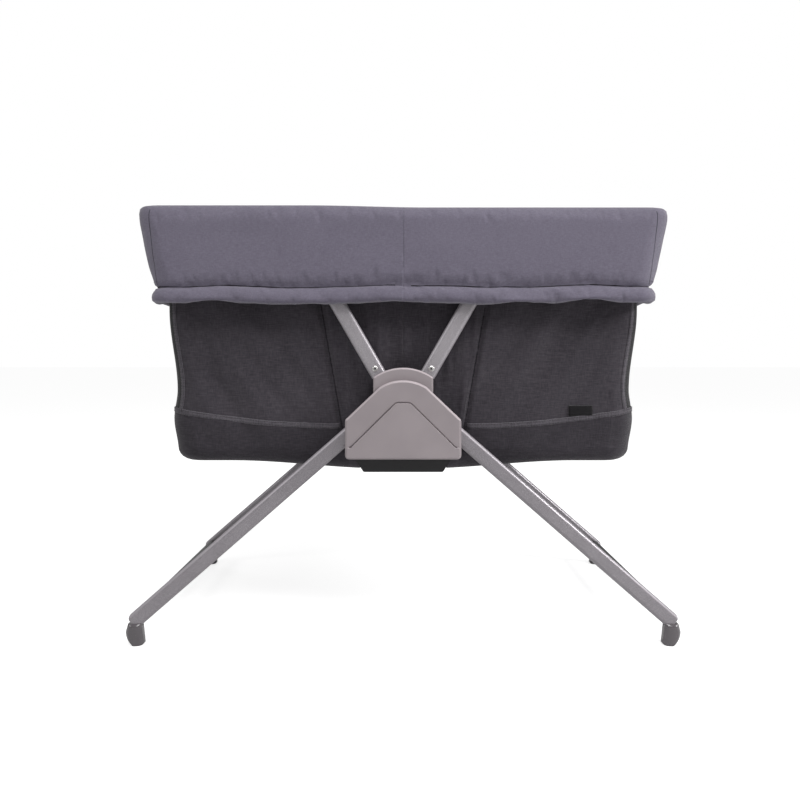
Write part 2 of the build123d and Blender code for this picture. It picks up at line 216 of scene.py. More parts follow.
# %% A material builder
class Finish:
    """A Principled material and short names for the nodes that feed it."""

    def __init__(self, name, **settings):
        self.material = bpy.data.materials.new(name)
        self.material.use_nodes = True
        self.tree = self.material.node_tree
        self.shader = self.tree.nodes["Principled BSDF"]
        for socket, value in settings.items():
            self.shader.inputs[socket.replace("_", " ")].default_value = value
        self.place = self.tree.nodes.new("ShaderNodeTexCoord").outputs["Object"]

    def node(self, kind, inputs=(), **settings):
        made = self.tree.nodes.new("ShaderNode" + kind)
        for key, value in settings.items():
            setattr(made, key, value)
        for key, value in dict(inputs).items():
            if isinstance(value, bpy.types.NodeSocket):
                self.tree.links.new(value, made.inputs[key])
            else:
                made.inputs[key].default_value = value
        return made

    def noise(self, scale, detail=3.0, stretch=(1, 1, 1), roughness=0.55):
        mapped = self.node("Mapping", {"Vector": self.place, "Scale": stretch})
        values = {"Vector": mapped.outputs[0], "Scale": scale, "Detail": detail, "Roughness": roughness}
        return self.node("TexNoise", values).outputs["Fac"]

    def maths(self, operation, a, b=0.0):
        return self.node("Math", {0: a, 1: b}, operation=operation).outputs[0]

    def spread(self, value, low, high):
        """Stretches the band low..high of a value to 0..1."""
        ranges = {"Value": value, "From Min": low, "From Max": high}
        return self.node("MapRange", ranges, clamp=True).outputs["Result"]

    def mix(self, share, a, b):
        """A colour between two, by share."""
        made = self.node("Mix", {0: share, 6: a, 7: b}, data_type="RGBA")
        return made.outputs[2]

    def colour(self, socket):
        self.tree.links.new(socket, self.shader.inputs["Base Color"])

    def roughness(self, socket):
        self.tree.links.new(socket, self.shader.inputs["Roughness"])

    def bump(self, height, strength, distance, normal=None):
        values = {"Height": height, "Strength": strength, "Distance": distance}
        if normal:
            values["Normal"] = normal
        self.tree.links.new(self.node("Bump", values).outputs[0], self.shader.inputs["Normal"])

    def soft_edges(self, radius):
        """A normal that is rounded over sharp edges, and a mask that is 1 on those edges."""
        rounded = self.node("Bevel", {"Radius": radius}, samples=6).outputs[0]
        plain = self.node("NewGeometry").outputs["Normal"]
        same = self.node("VectorMath", {0: rounded, 1: plain}, operation="DOT_PRODUCT").outputs["Value"]
        return rounded, self.spread(self.maths("SUBTRACT", 1.0, same), 0.004, 0.07)

    def upper_slopes(self, low, high):
        """1 where the surface leans both up and out, as a bevel along a top edge does."""
        lean = self.node("SeparateXYZ", {0: self.node("TexCoord").outputs["Normal"]}).outputs
        slope = self.maths("MULTIPLY", lean["Z"], self.maths("ABSOLUTE", lean["Y"]))
        return self.spread(slope, low, high)


def ramp(finish, share, *stops):
    """Colour along a ramp of (place, colour) stops."""
    made = finish.node("ValToRGB", {"Fac": share})
    elements = made.color_ramp.elements
    while len(elements) < len(stops):
        elements.new(0.5)
    for element, (place, colour) in zip(elements, stops):
        element.position, element.color = place, (*colour, 1)
    return made.outputs["Color"]


def rgb(red, green, blue):
    """Linear colour from screen values of 0 to 255."""
    return tuple(((v / 255 + 0.055) / 1.055) ** 2.4 if v > 10 else v / 3295 for v in (red, green, blue))


# %% [markdown]
# ### Hard finishes
# Moulded plastic has an eroded-tool texture: a fine bump and a slight mottling of gloss. Powder coat
# is an orange-peel bump with a sparkle of specks. Zinc plate is brushed along one direction.

# %% Plastic, powder coat and plate
def moulded(name, colour, roughness, grain, coat=0.0, highlight_gain=1.35):
    finish = Finish(name, Roughness=roughness, Coat_Weight=coat)
    lighter = tuple(min(1.0, c * 1.05) for c in colour)
    darker = tuple(c * 0.95 for c in colour)
    blotch = finish.spread(finish.noise(14, 2), 0.35, 0.65)
    rounded, edges = finish.soft_edges(0.0016)
    base = ramp(finish, blotch, (0.0, darker), (0.5, colour), (1.0, lighter))
    # Painted highlight: the colour turns lighter along every edge and on slopes that face up and out.
    highlight_colour = tuple(min(1.0, c * highlight_gain) for c in colour)
    pale = finish.maths("MAXIMUM", finish.maths("MULTIPLY", edges, 0.6), finish.upper_slopes(0.12, 0.34))
    finish.colour(finish.mix(pale, base, (*highlight_colour, 1)))
    fine = finish.noise(1 / grain, 2)
    finish.roughness(finish.node("MapRange", {"Value": fine, "To Min": roughness - 0.06,
                                              "To Max": roughness + 0.08}).outputs[0])
    finish.bump(fine, 0.16, grain / 4, rounded)
    return finish.material


def powder_coat(name, colour, speck):
    finish = Finish(name, Roughness=0.36, Metallic=0.25, Coat_Weight=0.3, Coat_Roughness=0.22)
    blotch = finish.noise(22, 3)
    specks = finish.spread(finish.noise(1400, 1), 0.52, 0.7)
    base = ramp(finish, blotch, (0.3, tuple(c * 0.88 for c in colour)), (0.7, colour))
    # Painted highlight: the coat is lighter on slopes that face up and out.
    pale = finish.mix(finish.upper_slopes(0.2, 0.3), base, (*(min(1.0, c * 1.5) for c in colour), 1))
    finish.colour(finish.mix(specks, pale, (*speck, 1)))
    finish.bump(finish.noise(420, 2), 0.12, 0.0006)
    return finish.material


def plated(name, colour):
    finish = Finish(name, Roughness=0.32, Metallic=1.0)
    brushed = finish.noise(240, 3, stretch=(1, 12, 1))
    finish.colour(ramp(finish, brushed, (0.3, tuple(c * 0.8 for c in colour)), (0.7, colour)))
    finish.bump(brushed, 0.08, 0.0004)
    return finish.material


hub_plastic = moulded("hub plastic", rgb(155, 146, 149), 0.34, 0.0011, highlight_gain=1.6)
foot_plastic = moulded("foot plastic", rgb(86, 81, 85), 0.24, 0.003, coat=1.0, highlight_gain=1.1)
black_plastic = moulded("black plastic", rgb(26, 23, 26), 0.5, 0.0012)
arm_paint = powder_coat("silver grey powder coat", rgb(158, 153, 158), rgb(205, 200, 204))
# The legs take a darker copy of the same powder coat: painted shade, for the light they get less of.
shaded_leg_paint = powder_coat("silver powder coat with painted shade", rgb(142, 137, 142), rgb(186, 181, 186))
rim_paint = powder_coat("black powder coat", rgb(20, 18, 21), rgb(32, 30, 34))
zinc = plated("zinc plate", rgb(226, 224, 222))
print("hard finishes:", len(bpy.data.materials))


# %% [markdown]
# ### Cloth
# The bed is sewn from a melange polyester: yarns of several greys, so that the cloth shows short
# dashes of lighter and darker thread along the weave. We build it from noise that is drawn out along
# the weft and the warp, and a fine basket of threads for the bump. The sum x + y runs along every
# upright wall, whichever way it faces, so one weave serves all the walls.

# %% Woven cloth
def woven(name, dark, colour, light, thread=0.0011, sheen=0.25, depth=0.35, slub=1.0):
    finish = Finish(name, Roughness=0.92, Sheen_Weight=sheen, Sheen_Roughness=0.45,
                    Specular_IOR_Level=0.25)
    parts = finish.node("SeparateXYZ", {0: finish.place})
    along_wall = finish.maths("ADD", parts.outputs[0], parts.outputs[1])
    turns = math.tau / thread
    weft = finish.maths("SINE", finish.maths("MULTIPLY", along_wall, turns))
    warp = finish.maths("SINE", finish.maths("MULTIPLY", parts.outputs[2], turns))
    basket = finish.maths("MULTIPLY", weft, warp)
    dashes = finish.noise(420, 2, stretch=(0.16 * slub, 0.16 * slub, 1.6))
    upright = finish.noise(420, 2, stretch=(1.5, 1.5, 0.22 * slub))
    broad = finish.noise(9, 3)
    yarns = finish.maths("ADD", finish.maths("MULTIPLY", dashes, 0.45),
                         finish.maths("MULTIPLY", upright, 0.35))
    tone = finish.maths("ADD", yarns, finish.maths("MULTIPLY", broad, 0.2))
    tone = finish.maths("ADD", tone, finish.maths("MULTIPLY", basket, 0.03))
    finish.colour(ramp(finish, tone, (0.36, dark), (0.5, colour), (0.66, light)))
    height = finish.maths("ADD", basket, finish.maths("MULTIPLY", yarns, 1.6))
    finish.bump(height, depth, thread / 3)
    return finish.material


tub_cloth = woven("charcoal melange", rgb(51, 47, 53), rgb(63, 59, 65), rgb(77, 72, 78))
band_cloth = woven("charcoal band", rgb(44, 41, 46), rgb(55, 51, 57), rgb(68, 64, 70))
cuff_cloth = woven("grey melange", rgb(105, 100, 115), rgb(113, 108, 123), rgb(122, 117, 132),
                   thread=0.0009, sheen=0.35, slub=2.5)
# Darker than the cuff cloth, for thin strips along the cuff's seams: painted shade.
cuff_shade = woven("painted cuff seam shade", rgb(58, 55, 64), rgb(66, 63, 73), rgb(76, 72, 83), thread=0.0008)
# A near-black strip laid in seam grooves: painted shade, standing for the shadow in each groove.
seam_shade = woven("painted seam shadow", rgb(26, 24, 28), rgb(34, 31, 36), rgb(42, 39, 44), thread=0.0008)
net_backing = woven("black net backing", rgb(18, 16, 19), rgb(24, 22, 25), rgb(32, 30, 33), thread=0.0014)
lining_cloth = woven("pale lining", rgb(128, 124, 128), rgb(150, 146, 150), rgb(172, 168, 172))
binding_cloth = woven("binding tape", rgb(66, 62, 68), rgb(86, 82, 88), rgb(104, 100, 106), thread=0.0008)
tag_cloth = woven("blank tag", rgb(16, 14, 17), rgb(22, 20, 23), rgb(30, 28, 31), thread=0.0007)
net_cord = moulded("net yarn", rgb(32, 30, 33), 0.75, 0.0008)
stitch_thread = moulded("sewing thread", rgb(90, 86, 98), 0.7, 0.0006)
dark_thread = moulded("dark thread", rgb(44, 41, 46), 0.7, 0.0006)
print("cloths ready")

# %% [markdown]
# ### Dress the frame
# Each node of the frame keeps its shape and takes the finish that its record slot calls for. The
# cloth nodes are stand-ins: they will be replaced by sewn pieces further down.

# %% Finish the frame's own parts
SLOT_FINISH = {
    "hub_plastic": hub_plastic, "foot_plastic": foot_plastic, "black_plastic": black_plastic,
    "painted_tube": arm_paint, "rim_steel": rim_paint, "zinc_steel": zinc,
}
dressed = 0
for part in frame["record"]["subparts"]:
    if part["material_slot"] in SLOT_FINISH:
        node = frame["nodes"][part["node"]]
        node.data.materials.clear()
        # Legs take the darker copy of the arm paint, as painted shade.
        finish = shaded_leg_paint if part["node"].endswith("_leg") else SLOT_FINISH[part["material_slot"]]
        node.data.materials.append(finish)
        dressed += 1
print("frame nodes dressed:", dressed)


# %% [markdown]
# ### Springs that give
# A leaf spring stands on each lock plate, under the top spacer. When the plate slides up, the leaf
# flattens. Here each leaf is copied as a piece of its own, which rides on the base.

# %% The two leaf springs
for face in ("front", "back"):
    name = f"{face}_lock_spring"
    leaf = node_copy(name, f"{face}_lock_leaf")
    low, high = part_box(name)
    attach(leaf, "base")
    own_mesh(leaf)
    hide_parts(name)
    print(leaf.name, "stands", round(1000 * (high[2] - low[2]), 1), "mm high")

# %% [markdown]
# ### Softer feet
# The frame's feet have straight bevels, but a moulded foot is round all over. We copy each one, give it
# an even skin with a voxel remesh, and relax that skin a little, so that light slides round it. Its
# front and back are pinched in toward the two sides, which crowns them.

# %% Relax the feet
FOOT_VOXEL, FOOT_RELAX, FOOT_PINCH = 0.0010, 14, 0.42


def soft_foot(name):
    foot = node_copy(name, f"{name}_shoe", foot_plastic)
    skin = foot.modifiers.new("even skin", "REMESH")
    skin.mode, skin.voxel_size, skin.use_smooth_shade = "VOXEL", FOOT_VOXEL, True
    relax = foot.modifiers.new("relax", "SMOOTH")
    relax.factor, relax.iterations = 0.5, FOOT_RELAX
    foot = apply_modifiers(foot)
    low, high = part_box(name)
    (cx, cy), half = ((low[i] + high[i]) / 2 for i in (0, 1)), (high[0] - low[0]) / 2
    for vertex in foot.data.vertices:
        away = (vertex.co.x - cx) / half
        vertex.co.y = cy + (vertex.co.y - cy) * (1 - FOOT_PINCH * away * away)
    return foot


for side_name in ("left", "right"):
    for face in ("front", "back"):
        name = f"{face}_{side_name}_foot"
        foot = soft_foot(name)
        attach(foot, f"{side_name}_legs")
        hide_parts(name)
        print(foot.name, triangles(foot), "triangles")


# %% [markdown]
# ## The tub's shape
# The tub is a basket of cloth hung from the rim: nearly upright walls, drawn in a little at the
# waist, with rounded corners and a rounded edge round the floor. Its shape follows a rule, so we
# write the rule first: at each height the wall is a rounded rectangle, and its half length, half
# width and corner radius run smoothly between a few heights.

# %% A rounded ring at any height
TUB_RINGS = [  # height, half length, half width, corner radius
    (0.322, 0.3995, 0.2325, 0.044), (0.380, 0.406, 0.236, 0.044), (0.430, 0.400, 0.235, 0.042),
    (0.570, 0.412, 0.238, 0.036), (0.640, 0.4135, 0.2395, 0.033), (0.708, 0.4255, 0.241, 0.030),
]
SIDE_STEPS, CORNER_STEPS, END_STEPS = 300, 8, 72


def ring_at(rings, z):
    """Half length, half width and radius at a height, eased between the given rings."""
    if z <= rings[0][0]:
        return rings[0][1:]
    for low, high in zip(rings, rings[1:]):
        if z <= high[0]:
            t = (z - low[0]) / (high[0] - low[0])
            t = t * t * (3 - 2 * t)
            return tuple(a + (b - a) * t for a, b in zip(low[1:], high[1:]))
    return rings[-1][1:]


def ring_point(size, leg, share):
    """Place (x, y) and outward normal on a rounded rectangle. Its eight legs run anticlockwise from
    the front side: 0 front, 1 corner, 2 right end, 3 corner, 4 back, 5 corner, 6 left end, 7 corner."""
    half_x, half_y, radius = size
    flat_x, flat_y = half_x - radius, half_y - radius
    quarter = leg // 2
    if leg % 2 == 0:
        reach, out = ((flat_x, half_y), (flat_y, half_x))[quarter % 2]
        local, normal = (-reach + 2 * reach * share, -out), (0.0, -1.0)
    else:
        reach, out = ((flat_x, flat_y), (flat_y, flat_x))[quarter % 2]
        turn = math.radians(90 * share)
        normal = (math.sin(turn), -math.cos(turn))
        local = (reach + radius * normal[0], -out + radius * normal[1])
    for _ in range(quarter):
        local, normal = (-local[1], local[0]), (-normal[1], normal[0])
    return Vector((*local, 0)), Vector((*normal, 0))


def ring_stops():
    """Every (leg, share) round a ring, each once."""
    stops = []
    for leg in range(8):
        steps = CORNER_STEPS if leg % 2 else (SIDE_STEPS, END_STEPS)[leg // 2 % 2]
        stops += [(leg, step / steps) for step in range(steps)]
    return stops


STOPS = ring_stops()
print("points round a ring:", len(STOPS))

# %% [markdown]
# ### Seams, band and creases
# Two seams run down each long wall and divide it into a centre panel and two side panels; a band is
# sewn over the lower edge, and tape binds the side panels to the net ends. Cloth under tension
# creases along the pull: upright in the centre panel, slanted in the side panels.

# %% Where the seams run, and how the cloth creases
SEAM_TOP, SEAM_FOOT = (0.570, 0.141), (0.369, 0.106)  # height, distance from the middle
BAND_MIDDLE_Z, BAND_CORNER_Z = 0.369, 0.396
NET_FROM = 3 / CORNER_STEPS  # the net starts this far round the corner
GROOVE_W = 0.0035


def seam_x(z):
    t = (z - SEAM_FOOT[0]) / (SEAM_TOP[0] - SEAM_FOOT[0])
    return SEAM_FOOT[1] + t * (SEAM_TOP[1] - SEAM_FOOT[1])


def band_z(x):
    """Top edge of the lower band: level near the hub, rising in a curve to the corners."""
    t = min(1.0, max(0.0, (abs(x) - 0.13) / 0.27))
    return BAND_MIDDLE_Z + (BAND_CORNER_Z - BAND_MIDDLE_Z) * t ** 1.7


def bell(x, width):
    return math.exp(-(x / width) ** 2)


def ease(x, low, high):
    t = min(1.0, max(0.0, (x - low) / (high - low)))
    return t * t * (3 - 2 * t)


def creases(x, z, side):
    """How far the cloth of a long wall stands out, in metres. side is -1 at the front, 1 behind."""
    seed = 3.7 if side < 0 else 11.3
    away = abs(x) - seam_x(z)
    centre = 1 - ease(away, -0.012, 0.004)
    fall = ease(z, 0.30, 0.46)
    upright = noise.noise((x * 44, z * 3.2, seed)) * 0.0062 + noise.noise((x * 95, z * 6, seed)) * 0.0020
    pucker = noise.noise((z * 150, seed, 4.4)) * 0.0016 * bell(away, 0.012)
    slant = math.copysign(1, x) * 0.62
    across, alongside = x - slant * z, slant * x + z
    pulled = noise.noise((across * 17, alongside * 3.2, seed + 5)) * 0.0115
    pulled += noise.noise((across * 55, alongside * 8, seed + 8)) * 0.0018
    flat_corner = 1 - ease(abs(x), 0.33, 0.39)
    out = centre * upright * fall + (1 - centre) * pulled * flat_corner * (0.35 + 0.65 * fall)
    out += pucker - 0.0034 * bell(away, GROOVE_W)
    out += 0.0012 * bell(abs(away) - 0.010, 0.006)
    in_band = 1 - ease(z - band_z(x), -0.0015, 0.0015)
    return out + 0.0016 * in_band * ease(away, 0.0, 0.003)


def wall_point(leg, share, z, lift=0.0):
    """A point of the tub's outer face, and the way out of it."""
    place, normal = ring_point(ring_at(TUB_RINGS, z), leg, share)
    out = lift
    if leg in (0, 4):
        out += creases(place.x, z, -1 if leg == 0 else 1)
    place += normal * out
    return Vector((place.x, place.y, z)), normal


print("seam at the top, from the middle:", round(seam_x(0.57), 3))

# %% [markdown]
# ### Sewing the tub
# The wall is a grid of quads, one row for each height. Where the net ends will be, the quads are
# left out. The floor closes with a few shrinking rings. A Solidify modifier gives the single sheet
# its thickness, with the pale lining inside, and the sheet is cut at the middle, because each half
# of the bed rides on its own half of the rim when the frame folds.

# %% Build the tub's skin
WALL_TOP_Z, WALL_FOOT_Z, WALL_ROWS = 0.706, 0.330, 76
EDGE_ROWS, EDGE_R = 6, 0.024
CLOTH_T = 0.0026
NET_TOP_Z = 0.694
net_legs = {2: (0.0, 1.0), 6: (0.0, 1.0)}
corner_legs = {1: (NET_FROM, 1.0), 3: (0.0, 1 - NET_FROM), 5: (NET_FROM, 1.0), 7: (0.0, 1 - NET_FROM)}


def beside_net(legs, leg, share, z):
    """Whether a place is on the stretch that legs gives for its leg, at the height of the net."""
    low, high = legs.get(leg, (2, 2))
    return low <= share < high and BAND_CORNER_Z <= z < NET_TOP_Z


def floor_sag(place):
    """The floor hangs a little lower towards the middle, on both sides of the beam that carries it."""
    x = abs(place.x)
    return 0.0145 * (1 - ease(x, 0.030, 0.300)) * ease(x, 0.071, 0.076)


def tub_rows():
    """Rows of points from the top of the wall down and in over the floor."""
    rows, heights = [], []
    for row in range(WALL_ROWS + 1):
        z = WALL_TOP_Z + (WALL_FOOT_Z - WALL_TOP_Z) * row / WALL_ROWS
        heights.append(z)
        rows.append([wall_point(leg, share, z)[0] for leg, share in STOPS])
    base = ring_at(TUB_RINGS, WALL_FOOT_Z)
    insets = [(EDGE_R * (1 - math.cos(math.radians(90 * i / EDGE_ROWS))),
               WALL_FOOT_Z - EDGE_R * math.sin(math.radians(90 * i / EDGE_ROWS)))
              for i in range(1, EDGE_ROWS + 1)]
    insets += [(EDGE_R + 0.018 * i, WALL_FOOT_Z - EDGE_R) for i in range(1, 12)]
    for inset, z in insets:
        size = (base[0] - inset, base[1] - inset, max(base[2] - 0.6 * inset, 0.008))
        ring = []
        for leg, share in STOPS:
            place = ring_point(size, leg, share)[0]
            drop = floor_sag(place) * (WALL_FOOT_Z - z) / EDGE_R
            ring.append(Vector((place.x, place.y, z - drop)))
        heights.append(z)
        rows.append(ring)
    return rows, heights


def sheet_of_rows(rows, heights):
    """Points, faces and cloth numbers of the skin. The floor closes with an even strip of quads
    between its long sides, and one face at each end."""
    count = len(STOPS)
    points = [p for row in rows for p in row]
    faces, cloths = [], []
    for r in range(len(rows) - 1):
        for c in range(count):
            leg, share = STOPS[c]
            z = (heights[r] + heights[r + 1]) / 2
            if beside_net(net_legs, leg, share, z):
                continue
            faces.append(quad(r, c, count))
            x = abs(points[r * count + c].x)
            in_band = z < band_z(x) and x > seam_x(z)
            cloths.append(4 if beside_net(corner_legs, leg, share, z) else 2 if in_band else 0)
    last = (len(rows) - 1) * count
    back = SIDE_STEPS + 2 * CORNER_STEPS + END_STEPS
    left = back + SIDE_STEPS
    for i in range(SIDE_STEPS):
        far = last + back + SIDE_STEPS - i
        faces.append((last + i, last + i + 1, far - 1, far))
    faces.append(tuple(last + i for i in range(SIDE_STEPS, back + 1)))
    faces.append(tuple(last + i % count for i in range(left, count + 1)))
    cloths += [0] * (SIDE_STEPS + 2)
    return points, faces, cloths


rows, heights = tub_rows()
tub_points, tub_faces, tub_cloths = sheet_of_rows(rows, heights)
tub_sheet = new_piece("tub_sheet", tub_points, tub_faces)
for cloth in (tub_cloth, lining_cloth, band_cloth, lining_cloth, net_backing, net_backing):
    tub_sheet.data.materials.append(cloth)
for polygon, cloth_number in zip(tub_sheet.data.polygons, tub_cloths):
    polygon.material_index = cloth_number
face_outwards(tub_sheet)
print("tub sheet:", len(tub_faces), "faces")


# %% Cut it at the middle and give it thickness
def half_of(piece, side, name):
    """A copy of what lies on one side of the middle."""
    copy = bpy.data.objects.new(name, piece.data.copy())
    bpy.context.collection.objects.link(copy)

    def cut(bm):
        everything = bm.verts[:] + bm.edges[:] + bm.faces[:]
        bmesh.ops.bisect_plane(bm, geom=everything, dist=1e-6, plane_co=(0, 0, 0), plane_no=(side, 0, 0),
                               clear_inner=True)
        loose = [v for v in bm.verts if not v.link_faces]
        bmesh.ops.delete(bm, geom=loose, context="VERTS")

    return edit(copy, cut)


def thicken(piece, thickness, inner_material=0):
    """Thickness towards the inside, closed round its rim."""
    solid = piece.modifiers.new("thickness", "SOLIDIFY")
    solid.thickness, solid.offset = thickness, -1
    solid.use_rim, solid.material_offset = True, inner_material
    return apply_modifiers(piece)


SIDES = (("left", -1), ("right", 1))


def hang(piece, side_name, nodes=()):
    """Rides a soft piece on its half of the rim, and hides the frame nodes that it takes the place of."""
    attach(piece, f"{side_name}_rim")
    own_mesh(piece)
    if nodes:
        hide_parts(*nodes)


for side_name, side in SIDES:
    tub = thicken(half_of(tub_sheet, side, f"{side_name}_tub_cloth"), CLOTH_T, 1)
    hang(tub, side_name, [f"{side_name}_tub"])
    print(tub.name, triangles(tub), "triangles")
bpy.data.objects.remove(tub_sheet)

# %% [markdown]
# ## Patterns that repeat
# Stitches, and the yarns of a net, are one small shape repeated along many lines. Geometry Nodes do
# that well: we draw the lines as bare edges, and a node tree turns each line into a row of stitches
# or into yarn. Both trees end with real faces, so that the result can be made a plain mesh.

# %% Two node trees
def new_tree(name, sizes):
    """An empty modifier tree with a geometry input and named sizes."""
    tree = bpy.data.node_groups.new(name, "GeometryNodeTree")
    tree.interface.new_socket("Geometry", in_out="INPUT", socket_type="NodeSocketGeometry")
    for size_name, value in sizes.items():
        socket = tree.interface.new_socket(size_name, in_out="INPUT", socket_type="NodeSocketFloat")
        socket.default_value = value
    tree.interface.new_socket("Material", in_out="INPUT", socket_type="NodeSocketMaterial")
    tree.interface.new_socket("Geometry", in_out="OUTPUT", socket_type="NodeSocketGeometry")
    return tree, tree.nodes.new("NodeGroupInput"), tree.nodes.new("NodeGroupOutput")


def finish_tree(tree, source, result, sink):
    """Realize Instances, then Set Material, then out."""
    realize = tree.nodes.new("GeometryNodeRealizeInstances")
    paint = tree.nodes.new("GeometryNodeSetMaterial")
    tree.links.new(result, realize.inputs[0])
    tree.links.new(realize.outputs[0], paint.inputs["Geometry"])
    tree.links.new(source.outputs["Material"], paint.inputs["Material"])
    tree.links.new(paint.outputs[0], sink.inputs[0])
    return tree


def stitch_tree():
    tree, source, sink = new_tree("stitch row", {"Pitch": 0.005, "Length": 0.0034, "Thickness": 0.0009})
    link, node = tree.links.new, tree.nodes.new
    curve = node("GeometryNodeMeshToCurve")
    spaced = node("GeometryNodeResampleCurve")
    spaced.mode = "LENGTH"
    bead = node("GeometryNodeMeshIcoSphere")
    bead.inputs["Radius"].default_value = 0.5
    shape = node("ShaderNodeCombineXYZ")
    stretch = node("GeometryNodeTransform")
    turn = node("FunctionNodeAlignRotationToVector")
    turn.axis = "Z"
    tangent = node("GeometryNodeInputTangent")
    place = node("GeometryNodeInstanceOnPoints")
    link(source.outputs["Geometry"], curve.inputs[0])
    link(curve.outputs[0], spaced.inputs["Curve"])
    link(source.outputs["Pitch"], spaced.inputs["Length"])
    link(source.outputs["Thickness"], shape.inputs[0])
    link(source.outputs["Thickness"], shape.inputs[1])
    link(source.outputs["Length"], shape.inputs[2])
    link(bead.outputs["Mesh"], stretch.inputs["Geometry"])
    link(shape.outputs[0], stretch.inputs["Scale"])
    link(tangent.outputs[0], turn.inputs["Vector"])
    link(spaced.outputs[0], place.inputs["Points"])
    link(stretch.outputs[0], place.inputs["Instance"])
    link(turn.outputs[0], place.inputs["Rotation"])
    return finish_tree(tree, source, place.outputs[0], sink)


def yarn_tree():
    tree, source, sink = new_tree("net yarn", {"Radius": 0.0005})
    link, node = tree.links.new, tree.nodes.new
    curve = node("GeometryNodeMeshToCurve")
    section = node("GeometryNodeCurvePrimitiveCircle")
    section.inputs["Resolution"].default_value = 4
    tube = node("GeometryNodeCurveToMesh")
    link(source.outputs["Geometry"], curve.inputs[0])
    link(source.outputs["Radius"], section.inputs["Radius"])
    link(curve.outputs[0], tube.inputs["Curve"])
    link(section.outputs[0], tube.inputs["Profile Curve"])
    return finish_tree(tree, source, tube.outputs[0], sink)


STITCHES, YARN = stitch_tree(), yarn_tree()


def grow(name, lines, tree, material, **sizes):
    """Runs a tree on bare lines, each a list of points, and keeps the result as a plain mesh."""
    points, edges = [], []
    for line in lines:
        first = len(points)
        points += [tuple(p) for p in line]
        edges += [(first + i, first + i + 1) for i in range(len(line) - 1)]
    mesh = bpy.data.meshes.new(name)
    mesh.from_pydata(points, edges, [])
    piece = bpy.data.objects.new(name, mesh)
    bpy.context.collection.objects.link(piece)
    modifier = piece.modifiers.new("grow", "NODES")
    modifier.node_group = tree
    for item in tree.interface.items_tree:
        if item.in_out == "INPUT" and item.name in sizes:
            modifier[item.identifier] = sizes[item.name]
        elif item.in_out == "INPUT" and item.name == "Material":
            modifier[item.identifier] = material
    apply_modifiers(piece)
    print(name, triangles(piece), "triangles")
    return piece


# %% [markdown]
# ## Net ends
# The end walls are knitted net, so that air can pass. Its yarns cross in small diamonds between the
# band and the rim. We lay a fine grid over the same rule that shaped the wall, and keep only the
# slanted lines of each cell.

# %% Knit the net
NET_PITCH = 0.0044
NET_YARN_R = 0.00042


def net_stops(side):
    """Stops along the net of one side, from its front binding round to its back binding."""
    size = ring_at(TUB_RINGS, (BAND_CORNER_Z + NET_TOP_Z) / 2)
    steps = round(2 * (size[1] - size[2]) / NET_PITCH)
    return [(2 if side > 0 else 6, i / steps) for i in range(steps + 1)]


def net_lines(side):
    stops = net_stops(side)
    rows = round((NET_TOP_Z - BAND_CORNER_Z) / NET_PITCH)
    grid = []
    for r in range(rows + 1):
        z = BAND_CORNER_Z + (NET_TOP_Z - BAND_CORNER_Z) * r / rows
        grid.append([wall_point(leg, share, z, -0.0010)[0] for leg, share in stops])
    lines = []
    for start in range(-rows, len(stops)):
        for lean in (1, -1):
            line = []
            for r in range(rows + 1):
                c = start + r if lean > 0 else start + rows - r
                if 0 <= c < len(stops) and (start % 2 == 0):
                    line.append(grid[r][c])
            if len(line) > 1:
                lines.append(line)
    return lines


for side_name, side in SIDES:
    net = grow(f"{side_name}_end_net", net_lines(side), YARN, net_cord, Radius=NET_YARN_R)
    hang(net, side_name)


# %% [markdown]
# ## Tapes and topstitching
# A tape is a folded strip sewn over a raw edge. Ours follows lines on the wall: along the top of the
# band, and up each corner beside the net. It is swept along a path that carries the wall's own
# outward direction, so that it lies flat on the cloth round the corners.

# %% Sweep a tape
TAPE_SECTION = (  # share of the half width, share of the thickness
    (-1, 0.0), (-0.86, 0.8), (-0.4, 1.0), (0.4, 1.0), (0.86, 0.8), (1, 0.0), (0.8, -0.5), (-0.8, -0.5),
)


def sideways(path, i):
    """The way across a path of (point, outward) pairs, along the surface."""
    ahead = path[min(i + 1, len(path) - 1)][0] - path[max(i - 1, 0)][0]
    return ahead.cross(path[i][1]).normalized()


def tape(name, path, width, thick, material):
    """A flat closed strip along (point, outward) pairs, with rounded long edges."""
    half, count = width / 2, len(TAPE_SECTION)
    section = [(across * half, up * thick) for across, up in TAPE_SECTION]
    points = []
    for i, (place, out) in enumerate(path):
        across = sideways(path, i)
        points += [place + across * a + out * u for a, u in section]
    faces = [quad(i, k, count) for i in range(len(path) - 1) for k in range(count)]
    faces.append(tuple(range(count)))
    faces.append(tuple((len(path) - 1) * count + k for k in range(count)))
    return face_outwards(new_piece(name, points, faces, material))


def side_share(x, z, leg):
    """The share along a long wall's straight part at which x lies."""
    size = ring_at(TUB_RINGS, z)
    t = (x / (size[0] - size[2]) + 1) / 2
    return t if leg == 0 else 1 - t


def band_path(side, lift):
    """Along the band's top edge, from the front seam round the end to the back seam."""
    path = []
    size = ring_at(TUB_RINGS, BAND_CORNER_Z)
    flat = size[0] - size[2]
    start = seam_x(BAND_MIDDLE_Z) + 0.004
    xs = [start + (flat - start) * i / 60 for i in range(60)]
    round_end, (first_leg, last_leg) = ((1, 2, 3), (0, 4)) if side > 0 else ((5, 6, 7), (4, 0))

    def straight(xs, leg):
        return [wall_point(leg, side_share(side * x, band_z(x), leg), band_z(x), lift) for x in xs]

    path += straight(xs, first_leg)
    for leg in round_end:
        steps = 10 if leg % 2 else 40
        for i in range(steps):
            x = ring_point(size, leg, i / steps)[0].x
            path.append(wall_point(leg, i / steps, band_z(x), lift))
    return path + straight(xs[::-1], last_leg)


def upright_path(leg, share, lift):
    low, high, steps = BAND_CORNER_Z - 0.002, WALL_TOP_Z - 0.004, 50
    return [wall_point(leg, share, low + (high - low) * i / steps, lift) for i in range(steps + 1)]


def shifted(path, amount):
    """A path's points moved sideways along the surface."""
    return [place + sideways(path, i) * amount for i, (place, _) in enumerate(path)]


